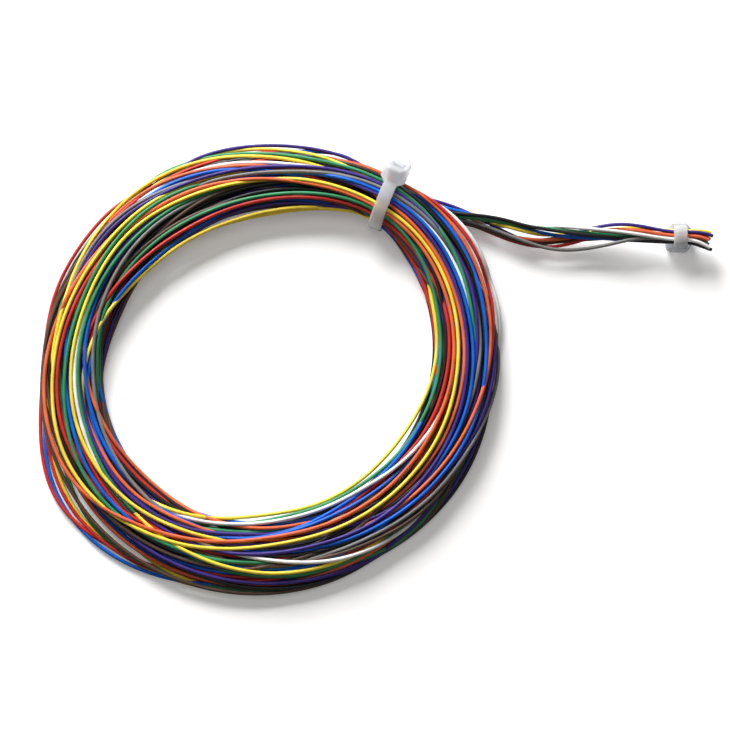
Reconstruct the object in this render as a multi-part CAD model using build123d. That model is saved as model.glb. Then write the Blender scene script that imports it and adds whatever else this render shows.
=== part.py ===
from build123d import *
from math import asin, cos, degrees, pi, radians, sin, sqrt, tan
import os

# A coil of ten-colour hookup wire, in millimetres.
# Ten stranded wires are wound together in ten turns and held by a nylon cable tie.
# Their ends leave the coil as one loose tail, gathered by a second tie near the cut ends.
# The coil lies flat on Z = 0, and the tail points along +X.

# Wire: PVC insulation over seven bare strands, modelled at the cut end
WIRE_DIAMETER = 1.3
STRAND_DIAMETER = 0.16
STRAND_GAP = 0.006
CORE_CLEARANCE = 0.01
CORE_LENGTH = 1.2

# Wound coil: plan position of its middle, and its outline by clock angle from +X
# (angle, inner radius, outer radius, bottom, top), cut flat where the bottom is below Z = 0
COIL_CENTRE = (-37.4, -1.6)
COIL_OUTLINE = [
    (67, 61.2, 82.7, 0.6, 14.0),
    (77, 58.0, 82.0, -0.9, 12.4),
    (92, 54.3, 81.8, -1.5, 10.9),
    (120, 51.8, 81.4, -1.5, 10.5),
    (150, 55.2, 81.8, -1.5, 10.5),
    (180, 59.7, 81.4, -1.5, 10.8),
    (210, 58.3, 87.0, -1.5, 10.5),
    (240, 55.6, 84.2, -1.5, 10.5),
    (270, 48.8, 79.0, -1.5, 10.6),
    (300, 46.2, 74.8, -1.5, 10.5),
    (330, 48.8, 77.0, -1.5, 10.5),
    (360, 55.3, 79.8, -1.5, 10.9),
    (388, 60.4, 83.2, -1.1, 12.4),
    (405, 63.2, 83.4, 0.4, 13.8),
]

# Neck of the coil, where the tie squeezes it
NECK_ANGLE = 57.0
NECK_RADIUS = 73.1
NECK_HALF_WIDTH = 9.3
NECK_HALF_HEIGHT = 6.4
NECK_SPREAD = 4.0

# Nylon cable ties
STRAP_WIDTH = 4.8
STRAP_THICKNESS = 1.25
STRAP_EDGE_RADIUS = 0.3
TOOTH_PITCH = 1.3
TOOTH_LENGTH = 1.1
TOOTH_DEPTH = 0.45
TOOTH_WIDTH = 3.0
TOOTHLESS_ROOT = 5.0
TOOTHLESS_TIP = 0.7
HEAD_WIDTH = 9.0
HEAD_HEIGHT = 5.1
HEAD_FRONT = 4.0
HEAD_BACK = 5.0
HEAD_NECK_LENGTH = 2.4
HEAD_CORNER_RADIUS = 2.6
HEAD_EDGE_RADIUS = 0.9
HEAD_SKIRT = 3.0
SLOT_CLEARANCE = 0.25
BEND_RADIUS = 1.3
PAWL_ROOM = 1.4
PAWL_THICKNESS = 0.6
PAWL_HINGE = 1.5
PAWL_BITE = 0.33
PAWL_TEETH = 2
PAWL_SIDE_CLEARANCE = 0.05
PAWL_FACE_CLEARANCE = 0.08
PAWL_SLIP = 0.05
OVAL_JOINT = 50.0
SUNK = 0.15

# Coil tie: clearance round the neck, angle of the head and yaw across the bundle
COIL_TIE_SIDE_CLEARANCE = 0.6
COIL_TIE_FACE_CLEARANCE = 0.6
COIL_TIE_HEAD_ANGLE = 45.0
COIL_TIE_YAW = 11.0
COIL_TIE_TIP = 0.6

# Tail tie: the ten wires lie in rows of three, four and three
TAIL_TIE_X = 106.3
TAIL_TIE_Y = 46.5
ROW_PITCH = 1.18
COLUMN_PITCH = 1.36
TAIL_TIE_SIDE_CLEARANCE = 0.26
TAIL_TIE_FACE_CLEARANCE = 0.6
TAIL_TIE_HEAD_ANGLE = 270.0

# Heights that follow from the parts' own sizes
COIL_TIE_HALF_HEIGHT = NECK_HALF_HEIGHT + COIL_TIE_FACE_CLEARANCE
NECK_Z = COIL_TIE_HALF_HEIGHT + STRAP_THICKNESS
COIL_TIE_HALF_WIDTH = NECK_HALF_WIDTH / cos(radians(COIL_TIE_YAW)) + COIL_TIE_SIDE_CLEARANCE
TAIL_TIE_HALF_WIDTH = 1.5 * COLUMN_PITCH + WIRE_DIAMETER / 2 + TAIL_TIE_SIDE_CLEARANCE
TAIL_TIE_HALF_HEIGHT = ROW_PITCH + WIRE_DIAMETER / 2 + TAIL_TIE_FACE_CLEARANCE
TAIL_TIE_Z = TAIL_TIE_HALF_HEIGHT + HEAD_HEIGHT

# Tail: places along X where each wire's route has a point before the tail tie
APPROACH_X = (13.4, 17.8, 22.7, 27.6, 33.2, 38.8, 45.0, 51.1, 57.2, 63.4, 70.4, 77.4, 84.4, 91.4)
TIE_REACH = 3.7
FAN_X = 114.1

# (Y, Z) at each of those places, then the wire's column and row in the tail tie,
# (Y, Z) where the ends begin to fan out, and the cut end
TAIL_ROUTES = {
    "violet": (
        [(62.0, 4.8), (61.0, 4.9), (59.0, 4.9), (57.0, 4.8), (54.7, 4.4), (52.7, 3.6), (51.0, 2.8),
         (50.2, 2.2), (50.3, 2.2), (50.2, 3.2), (50.2, 4.6), (50.4, 6.1), (50.5, 7.5), (49.7, 8.4)],
        (1, 1), (47.6, 8.9), (118.0, 46.5, 8.4)),
    "blue": (
        [(60.5, 6.1), (59.6, 6.1), (57.9, 6.2), (56.4, 6.5), (54.9, 6.5), (53.4, 6.7), (51.5, 6.9),
         (49.5, 6.6), (47.6, 6.6), (46.3, 6.5), (45.5, 6.2), (44.6, 6.1), (44.3, 5.9), (44.5, 5.8)],
        (-1, -1), (44.0, 5.4), (117.0, 42.7, 4.5)),
    "gray": (
        [(59.2, 7.1), (58.3, 7.3), (56.9, 7.7), (55.6, 8.0), (54.5, 8.2), (53.5, 8.4), (52.5, 8.5),
         (51.4, 8.7), (50.2, 8.8), (48.7, 8.9), (47.4, 9.1), (46.8, 8.7), (46.4, 7.9), (45.8, 7.3)],
        (-0.5, 0), (45.0, 7.1), (116.7, 44.0, 6.2)),
    "black": (
        [(58.3, 5.7), (57.4, 5.9), (55.8, 6.3), (54.4, 6.8), (53.2, 7.1), (51.9, 7.7), (50.7, 8.4),
         (49.7, 8.4), (48.6, 8.0), (47.4, 7.8), (46.3, 7.7), (45.4, 7.6), (44.6, 7.6), (44.1, 7.6)],
        (-1.5, 0), (43.1, 6.9), (117.7, 42.0, 6.4)),
    "green": (
        [(57.6, 4.1), (56.6, 4.3), (54.9, 4.8), (53.6, 5.3), (52.8, 5.4), (52.1, 5.2), (51.9, 5.1),
         (51.5, 5.8), (50.9, 6.1), (50.2, 6.2), (49.5, 6.2), (47.8, 6.1), (47.6, 4.8), (48.2, 4.7)],
        (1, -1), (47.8, 5.6), (116.8, 47.0, 5.2)),
    "brown": (
        [(56.4, 5.3), (55.3, 5.5), (53.4, 5.8), (51.9, 5.8), (50.7, 5.9), (49.2, 5.9), (47.4, 5.9),
         (45.7, 5.8), (44.4, 5.6), (43.5, 5.3), (43.4, 4.9), (43.9, 4.4), (44.9, 4.2), (46.1, 4.9)],
        (0, -1), (46.0, 5.4), (116.4, 45.3, 4.7)),
    "yellow": (
        [(61.8, 3.1), (60.9, 3.2), (59.2, 3.2), (57.6, 3.2), (56.1, 3.3), (54.4, 3.4), (52.7, 3.6),
         (50.8, 4.0), (49.4, 3.8), (48.2, 3.3), (48.0, 2.7), (48.4, 3.2), (49.4, 4.6), (49.6, 6.2)],
        (1.5, 0), (48.8, 7.3), (117.6, 48.1, 6.8)),
    "red": (
        [(59.5, 4.2), (58.5, 4.1), (56.5, 3.9), (54.2, 3.6), (51.5, 3.8), (49.1, 4.0), (47.1, 3.9),
         (45.6, 3.8), (44.8, 3.8), (44.7, 4.0), (45.1, 4.3), (45.7, 4.6), (46.1, 5.7), (47.5, 6.3)],
        (0.5, 0), (46.8, 7.4), (117.2, 45.6, 7.2)),
    "orange": (
        [(60.1, 2.4), (59.2, 2.5), (57.6, 2.5), (55.8, 2.7), (53.3, 3.1), (50.8, 3.4), (48.8, 4.0),
         (47.1, 4.6), (46.2, 4.8), (46.7, 4.7), (48.0, 4.5), (49.5, 4.6), (49.2, 6.4), (47.9, 8.3)],
        (0, 1), (45.9, 9.0), (116.4, 44.9, 8.7)),
    "white": (
        [(58.5, 2.0), (57.5, 2.1), (55.8, 2.1), (54.1, 1.9), (52.5, 1.5), (51.0, 1.7), (49.4, 2.3),
         (48.4, 3.2), (48.0, 4.7), (48.2, 5.8), (48.3, 7.5), (48.6, 8.3), (47.9, 8.8), (46.2, 9.3)],
        (-1, 1), (43.7, 8.8), (116.8, 42.2, 8.2)),
}


def coil_section(angle, inner, outer, bottom, top):
    """An oval across the wound turns at a clock angle round the coil."""
    radial = Vector(cos(radians(angle)), sin(radians(angle)), 0)
    centre = Vector(*COIL_CENTRE, (bottom + top) / 2) + radial * (inner + outer) / 2
    plane = Plane(origin=centre, x_dir=radial, z_dir=Vector(radial.Y, -radial.X, 0))
    return plane * Ellipse((outer - inner) / 2, (top - bottom) / 2)


def neck_section(angle):
    """The squeezed oval where the tie holds the turns."""
    inner, outer = NECK_RADIUS - NECK_HALF_WIDTH, NECK_RADIUS + NECK_HALF_WIDTH
    bottom, top = NECK_Z - NECK_HALF_HEIGHT, NECK_Z + NECK_HALF_HEIGHT
    return coil_section(angle, inner, outer, bottom, top)


def coil_bundle():
    """The outer shape of the wound turns, flat where it rests on the floor."""
    first, last = NECK_ANGLE + NECK_SPREAD, NECK_ANGLE - NECK_SPREAD + 360
    sections = [neck_section(first)]
    sections += [coil_section(*station) for station in COIL_OUTLINE]
    sections += [neck_section(last)]
    axis = Axis((*COIL_CENTRE, 0), (0, 0, 1))
    neck = revolve(neck_section(NECK_ANGLE - NECK_SPREAD), axis, revolution_arc=2 * NECK_SPREAD)
    ring = loft(sections) + neck
    below = ring.bounding_box()
    floor = extrude(Plane.XY * Pos(*COIL_CENTRE) * Circle(below.size.X), amount=below.min.Z - 1)
    return ring - floor


class Oval:
    """A closed path of four tangent arcs round a bundle, centred on the origin."""

    def __init__(self, half_width, half_height):
        turn = radians(OVAL_JOINT)
        offset = (half_width - half_height) / (cos(turn) + sin(turn) - 1)
        self.end_centre = offset * cos(turn)
        self.face_centre = offset * sin(turn)
        self.end_radius = half_width - self.end_centre
        self.face_radius = self.end_radius + offset

    def arc_of(self, angle):
        """Centre and radius of the arc whose outward normal has this angle."""
        turn = angle % 360
        if OVAL_JOINT <= turn <= 180 - OVAL_JOINT:
            return (0, -self.face_centre), self.face_radius
        if 180 + OVAL_JOINT <= turn <= 360 - OVAL_JOINT:
            return (0, self.face_centre), self.face_radius
        side = 1 if cos(radians(turn)) > 0 else -1
        return (side * self.end_centre, 0), self.end_radius

    def spans(self, start, end):
        """The stretches between two normal angles that each lie on one arc."""
        joints = [OVAL_JOINT, 180 - OVAL_JOINT, 180 + OVAL_JOINT, 360 - OVAL_JOINT]
        stops = [joint + lap * 360 for lap in (0, 1, 2) for joint in joints]
        cuts = [start] + [stop for stop in stops if start < stop < end] + [end]
        return list(zip(cuts, cuts[1:]))

    def angle_along(self, start, distance):
        """The normal angle reached after going a distance round the path."""
        for low, high in self.spans(start, start + 360):
            _, radius = self.arc_of((low + high) / 2)
            span = radians(high - low) * radius
            if distance <= span:
                return low + degrees(distance / radius)
            distance -= span

    def arcs(self, start, end, grown=0.0):
        """Arcs from one normal angle to another, grown outward by a distance."""
        edges = []
        for low, high in self.spans(start, end):
            centre, radius = self.arc_of((low + high) / 2)
            edges.append(CenterArc(centre, radius + grown, low, high - low).edge())
        return edges

    def disc(self, grown):
        """The flat face inside the path, grown outward by a distance."""
        return make_face(self.arcs(OVAL_JOINT, OVAL_JOINT + 360, grown))


class TieHead:
    """Where the head of a cable tie sits on its loop, and the levels inside it."""

    def __init__(self, path, angle, tip):
        centre, radius = path.arc_of(angle)
        outward = Vector(cos(radians(angle)), sin(radians(angle)), 0)
        along = Vector(-outward.Y, outward.X, 0)
        self.angle = angle
        self.radius = radius
        self.plane = Plane(origin=(*centre, 0), x_dir=along, z_dir=outward)
        self.bend_turn = degrees(asin(BEND_RADIUS / (radius + BEND_RADIUS)))
        self.bend_level = sqrt((radius + BEND_RADIUS) ** 2 - BEND_RADIUS ** 2)
        self.top_level = radius - STRAP_THICKNESS / 2 + HEAD_HEIGHT
        self.tip_level = self.top_level + tip
        self.slot_front = -STRAP_THICKNESS / 2 - SLOT_CLEARANCE
        self.slot_back = STRAP_THICKNESS / 2 + PAWL_ROOM

    def profile(self, points, width):
        """A prism across the head from points given as (along, outward)."""
        outline = make_face(Polyline(*points, close=True))
        side = Plane(self.plane.origin, x_dir=self.plane.x_dir, z_dir=-self.plane.y_dir)
        return side * extrude(outline, amount=width / 2, both=True)


def cable_tie(half_width, half_height, head_angle, tip):
    """A moulded cable tie round an oval bundle, its strap locked in its own head.

    The loop lies in the XY plane and the strap's width runs along Z. The half sizes
    are those of the opening inside the strap. The strap leaves the back of the head,
    goes round the bundle and turns up through the slot, where the pawl holds it.
    """
    half = STRAP_THICKNESS / 2
    path = Oval(half_width + half, half_height + half)
    head = TieHead(path, head_angle, tip)
    return tie_strap(path, head) + tie_head(path, head) + tie_pawl(head)


def tie_strap(path, head):
    """The strap, recessed on its inner face between two rails and filled with teeth."""
    root = path.angle_along(head.angle, (head.slot_back + HEAD_BACK) / 2)
    loop = path.arcs(root, head.angle + 360 - head.bend_turn)
    bend = JernArc(loop[-1] @ 1, loop[-1] % 1, BEND_RADIUS, head.bend_turn - 90)
    stub_end = head.plane.from_local_coords(Vector(0, 0, head.tip_level))
    line = Wire(loop + [bend.edge(), Line(bend @ 1, stub_end).edge()])

    across = Plane(origin=line @ 0, x_dir=(0, 0, 1), z_dir=line % 0)
    section = RectangleRounded(STRAP_WIDTH, STRAP_THICKNESS, STRAP_EDGE_RADIUS)
    strap = sweep(across * section, path=line)
    recess_depth = TOOTH_DEPTH + SUNK
    recess_place = Pos(0, (recess_depth - STRAP_THICKNESS) / 2 - SUNK)
    strap -= sweep(across * recess_place * Rectangle(TOOTH_WIDTH, recess_depth), path=line)

    toothed = line.length - TOOTHLESS_ROOT - TOOTHLESS_TIP
    steps = range(int(toothed / TOOTH_PITCH) + 1)
    teeth = [strap_tooth(line, line.length - TOOTHLESS_TIP - step * TOOTH_PITCH) for step in steps]
    return strap + teeth


def strap_tooth(line, distance):
    """One locking tooth, steep on the side that faces back along the strap."""
    point = line.position_at(distance, position_mode=PositionMode.LENGTH)
    travel = line.tangent_at(distance, position_mode=PositionMode.LENGTH)
    crest = STRAP_THICKNESS / 2
    floor = crest - TOOTH_DEPTH
    back, front = -TOOTH_LENGTH / 2, TOOTH_LENGTH / 2
    outline = Polyline(
        (back, floor - SUNK), (back, crest), (front, floor), (front, floor - SUNK), close=True)
    place = Plane(origin=point, x_dir=travel, z_dir=(0, 0, 1))
    return place * extrude(make_face(outline), amount=TOOTH_WIDTH / 2, both=True)


def tie_head(path, head):
    """The head: a rounded box that narrows to the strap, with the slot through it."""
    shoulder, side, waist = HEAD_BACK - HEAD_NECK_LENGTH, HEAD_WIDTH / 2, STRAP_WIDTH / 2
    plan = make_face(Polyline(
        (-HEAD_FRONT, -side), (shoulder, -side), (HEAD_BACK, -waist),
        (HEAD_BACK, waist), (shoulder, side), (-HEAD_FRONT, side), close=True))
    plan = fillet(plan.vertices().group_by(Axis.X)[0], HEAD_CORNER_RADIUS)
    skirt = head.radius - HEAD_SKIRT
    block = Pos(0, 0, skirt) * extrude(plan, amount=head.top_level - skirt)
    block = fillet(block.faces().sort_by(Axis.Z)[-1].edges(), HEAD_EDGE_RADIUS)
    block = head.plane * block

    half = STRAP_THICKNESS / 2
    opening = extrude(path.disc(-half), amount=HEAD_WIDTH, both=True)
    passage = extrude(path.disc(half + SLOT_CLEARANCE), amount=HEAD_WIDTH, both=True)
    reach = 2 * HEAD_FRONT
    passage &= head.profile([(-reach, 0), (0, 0), (0, head.top_level), (-reach, head.top_level)], reach * 2)
    slot_width = STRAP_WIDTH + 2 * SLOT_CLEARANCE
    slot = head.profile(
        [(head.slot_front, 0), (head.slot_back, 0),
         (head.slot_back, head.top_level * 2), (head.slot_front, head.top_level * 2)], slot_width)
    return block - opening - passage - slot


def tie_pawl(head):
    """The pawl: a tongue hinged low on the slot's back wall, its teeth in the strap's."""
    face = STRAP_THICKNESS / 2 + PAWL_FACE_CLEARANCE
    flank = head.tip_level - TOOTHLESS_TIP - TOOTH_LENGTH / 2 - PAWL_SLIP
    low = head.radius
    wall = head.slot_back + SUNK
    width = TOOTH_WIDTH - 2 * PAWL_SIDE_CLEARANCE
    pawl = head.profile(
        [(face, low), (face, flank), (face + PAWL_THICKNESS, flank),
         (wall, low + PAWL_HINGE), (wall, low)], width)
    for step in range(PAWL_TEETH):
        crest = flank - step * TOOTH_PITCH
        tooth = [(face + SUNK, crest), (face - PAWL_BITE, crest), (face, crest - TOOTH_LENGTH * 0.8),
                 (face + SUNK, crest - TOOTH_LENGTH * 0.8)]
        pawl += head.profile(tooth, width)
    return pawl


def coil_tie():
    """The tie round the neck of the coil, turned a little across the turns."""
    angle = radians(NECK_ANGLE)
    origin = (COIL_CENTRE[0] + NECK_RADIUS * cos(angle), COIL_CENTRE[1] + NECK_RADIUS * sin(angle), NECK_Z)
    lean = radians(NECK_ANGLE + COIL_TIE_YAW)
    place = Plane(origin=origin, x_dir=(cos(lean), sin(lean), 0), z_dir=(sin(lean), -cos(lean), 0))
    return place * cable_tie(
        COIL_TIE_HALF_WIDTH, COIL_TIE_HALF_HEIGHT, COIL_TIE_HEAD_ANGLE, COIL_TIE_TIP)


def tail_tie():
    """The tie round the ten ends, its head underneath on the floor."""
    place = Plane(origin=(TAIL_TIE_X, TAIL_TIE_Y, TAIL_TIE_Z), x_dir=(0, 1, 0), z_dir=(1, 0, 0))
    return place * cable_tie(TAIL_TIE_HALF_WIDTH, TAIL_TIE_HALF_HEIGHT, TAIL_TIE_HEAD_ANGLE, 0)


def tail_points(route):
    """Every point of one wire's tail, from inside the coil to the cut end."""
    approach, (column, row), fan, end = route
    tied = (TAIL_TIE_Y + column * COLUMN_PITCH, TAIL_TIE_Z + row * ROW_PITCH)
    points = [Vector(x, *place) for x, place in zip(APPROACH_X, approach)]
    points += [Vector(TAIL_TIE_X - TIE_REACH, *tied), Vector(TAIL_TIE_X + TIE_REACH, *tied)]
    return points + [Vector(FAN_X, *fan), Vector(*end)]


def bend_radii(points):
    """As large a bend at each point as its two runs allow."""
    radii = []
    for before, point, after in zip(points, points[1:], points[2:]):
        arriving, leaving = point - before, after - point
        half_turn = radians(arriving.get_angle(leaving)) / 2
        radii.append(0.45 * min(arriving.length, leaving.length) / tan(half_turn))
    return radii


def wire_path(route):
    """Straight runs joined by tangent arcs through a wire's points."""
    points = tail_points(route)
    return FilletPolyline(*points, radius=bend_radii(points))


def core_place(path):
    """The cut end of a wire, facing back into it."""
    return Plane(origin=path @ 1, z_dir=-(path % 1))


def wire_tail(path):
    """One wire's insulation, bored at the cut end for its conductor."""
    section = Plane(origin=path @ 0, z_dir=path % 0) * Circle(WIRE_DIAMETER / 2)
    tube = sweep(section, path=path)
    bore_radius = 1.5 * STRAND_DIAMETER + STRAND_GAP + CORE_CLEARANCE
    return tube - core_place(path) * extrude(Circle(bore_radius), amount=CORE_LENGTH)


def conductor(path):
    """Seven bare strands, one in the middle of six."""
    strand = extrude(Circle(STRAND_DIAMETER / 2), amount=CORE_LENGTH)
    ring = PolarLocations(STRAND_DIAMETER + STRAND_GAP, 6)
    strands = [strand] + [place * strand for place in ring]
    return Compound(children=[core_place(path) * piece for piece in strands])


def main():
    """Write every piece to its own STEP file."""
    os.makedirs("parts", exist_ok=True)
    export_step(coil_bundle(), "parts/coil_bundle.step")
    export_step(coil_tie(), "parts/coil_tie.step")
    export_step(tail_tie(), "parts/tail_tie.step")
    for colour, route in TAIL_ROUTES.items():
        path = wire_path(route)
        tail = wire_tail(path)
        export_step(tail, f"parts/tail_{colour}.step")
        export_step(conductor(path), f"parts/conductor_{colour}.step")
        radii = bend_radii(tail_points(route))
        tube_volume = pi * WIRE_DIAMETER ** 2 / 4 * path.length
        print(f"{colour}: length {path.length:.1f}, tube share {tail.volume / tube_volume:.4f}, "
              f"smallest radius {min(radii):.1f}, radii {[round(radius) for radius in radii]}")


main()
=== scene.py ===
"""A coil of ten-colour hookup wire on a pale table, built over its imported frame.

Ten wires are wound together in ten turns. A nylon cable tie holds the coil, and
a second one gathers the loose cut ends. All lengths are in metres unless a name
ends in _mm.
"""

import logging
import math
from dataclasses import dataclass, field
from enum import Enum

import bpy
import numpy as np
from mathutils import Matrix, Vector


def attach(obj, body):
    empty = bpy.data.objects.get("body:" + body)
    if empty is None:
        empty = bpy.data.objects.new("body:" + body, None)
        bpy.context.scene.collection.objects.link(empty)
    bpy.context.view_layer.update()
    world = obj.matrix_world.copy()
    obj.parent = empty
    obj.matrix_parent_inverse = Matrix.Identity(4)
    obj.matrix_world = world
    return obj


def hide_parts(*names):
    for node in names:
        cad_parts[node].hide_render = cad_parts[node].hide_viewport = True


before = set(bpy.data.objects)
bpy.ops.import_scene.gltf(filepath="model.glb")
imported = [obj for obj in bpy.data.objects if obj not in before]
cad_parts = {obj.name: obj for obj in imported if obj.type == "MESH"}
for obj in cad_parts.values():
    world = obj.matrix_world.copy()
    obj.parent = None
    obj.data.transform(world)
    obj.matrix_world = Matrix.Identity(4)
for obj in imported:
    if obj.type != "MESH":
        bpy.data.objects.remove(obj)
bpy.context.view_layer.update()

LOG = logging.getLogger("coil")

Pair = tuple[float, float]
Triple = tuple[float, float, float]

MM = 0.001

WIRE_DIAMETER_MM = 1.3
WIRE_RADIUS_MM = WIRE_DIAMETER_MM / 2

# Every wire has so many turns, and each turn is settled at so many stations.
LAPS = 10
STATIONS = 96

# Heights of the turns that lie by the table, and of those that pass over the tail.
LOW_LEVEL_MM = 1.3
OVER_TAIL_MM = 9.8

# The coil's middle and its neck in the coil tie, as in the CAD.
COIL_CENTRE_MM = (-37.4, -1.6)
NECK_ANGLE = 57.0
NECK_RADIUS_MM = 73.1
NECK_HALF_WIDTH_MM = 9.3
NECK_HALF_HEIGHT_MM = 6.4
NECK_Z_MM = 8.25

# The wires' seats in the tail tie, as in the CAD.
TIE_COLUMN_MM = 1.36
TIE_ROW_MM = 1.18
TAIL_TIE_MM = (106.3, 46.5, 7.53)


class Colour(Enum):
    """The ten insulation colours, in the order of the usual colour code."""

    BLACK = "black"
    BROWN = "brown"
    RED = "red"
    ORANGE = "orange"
    YELLOW = "yellow"
    GREEN = "green"
    BLUE = "blue"
    VIOLET = "violet"
    GRAY = "gray"
    WHITE = "white"


@dataclass(frozen=True)
class PhotoView:
    """Where the photograph was taken from, for the camera and for tracks read from it.

    Args:
        elevation: how steeply it looks down, in degrees.
        distance: how far the lens is from the aim.
        frame_width: how wide the picture is at the aim.
        width_px: how many pixels wide it is.
        aim: the place in the middle of the picture.
    """

    elevation: float = 78.0
    distance: float = 0.85
    frame_width: float = 0.2625
    width_px: float = 750.0
    aim: Triple = (-0.0014, -0.0029, 0.005)

    def lens_place(self) -> Vector:
        """Where the lens is."""
        tilt = math.radians(self.elevation)
        return Vector(self.aim) + self.distance * Vector((0.0, -math.cos(tilt), math.sin(tilt)))

    def place_mm(self, across_px: np.ndarray, down_px: np.ndarray,
                 level_mm: np.ndarray) -> tuple[np.ndarray, np.ndarray]:
        """Where a pixel's line of sight meets a level above the table.

        Args:
            across_px: pixels from the picture's left edge.
            down_px: pixels from its top edge.
            level_mm: heights above the table.

        Returns:
            The places along X and Y in millimetres.
        """
        tilt = math.radians(self.elevation)
        scale = self.frame_width / self.width_px
        right = (across_px - self.width_px / 2) * scale
        up = (self.width_px / 2 - down_px) * scale
        sight_y = self.distance * math.cos(tilt) + up * math.sin(tilt)
        sight_z = up * math.cos(tilt) - self.distance * math.sin(tilt)
        lens = self.lens_place()
        share = (level_mm * MM - lens.z) / sight_z
        return (lens.x + share * right) / MM, (lens.y + share * sight_y) / MM


PHOTO = PhotoView()
# The middle that the tracks' radii are measured from in the photograph.
COIL_MIDDLE_PX = (272.0, 372.0)


class Lie(Enum):
    """How a turn lies where it can be seen from above."""

    TOP = "top"
    LOW = "low"
    OVER_TAIL = "over the tail"


@dataclass(frozen=True)
class Sight:
    """A stretch of one turn that lies in sight on the coil.

    Args:
        lap: which turn of the wire it is, counted from the hidden end.
        track: clock angles in degrees with radii in photo pixels round COIL_MIDDLE_PX.
        lie: whether it lies on top, down by the table or over the tail.
    """

    lap: int
    track: tuple[Pair, ...]
    lie: Lie = Lie.TOP


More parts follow.
